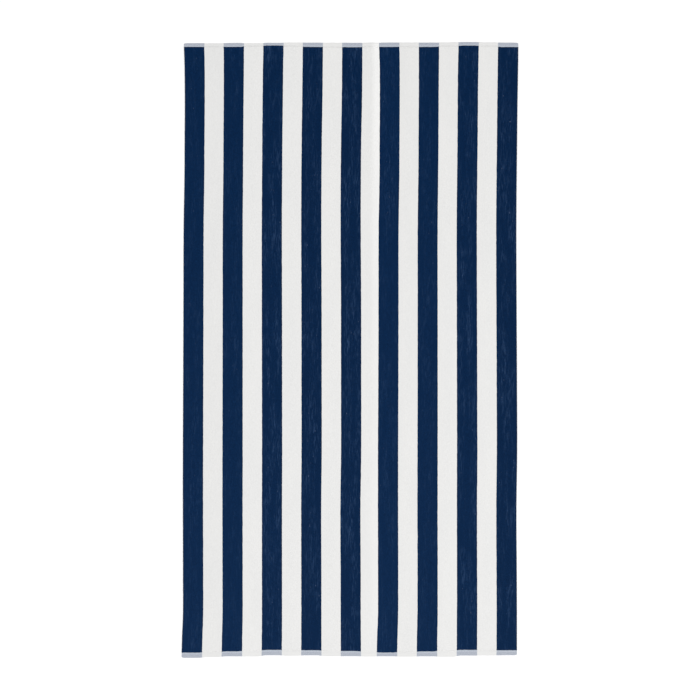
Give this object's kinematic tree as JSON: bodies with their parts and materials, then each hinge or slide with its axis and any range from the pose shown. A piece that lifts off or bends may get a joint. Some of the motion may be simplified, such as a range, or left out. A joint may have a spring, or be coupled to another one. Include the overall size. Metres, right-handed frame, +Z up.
{
  "type": "beach towel",
  "caption": "Striped velour beach towel lying flat and face up, with a thinner flat-woven hem at each end and one soft lengthwise fold line.",
  "frame": {"origin": "on the surface the towel lies on, under the middle of its outline", "axes": "+X across the towel, +Y along it from the foot end to the head end, +Z up out of its face"},
  "size_m": [0.9744, 1.7834, 0.0066],
  "materials": {
    "striped_velour": "matt sheared cotton pile in lengthwise navy and white stripes"
  },
  "bodies": {
    "root": {"towel": "striped_velour"}
  },
  "joints": []
}
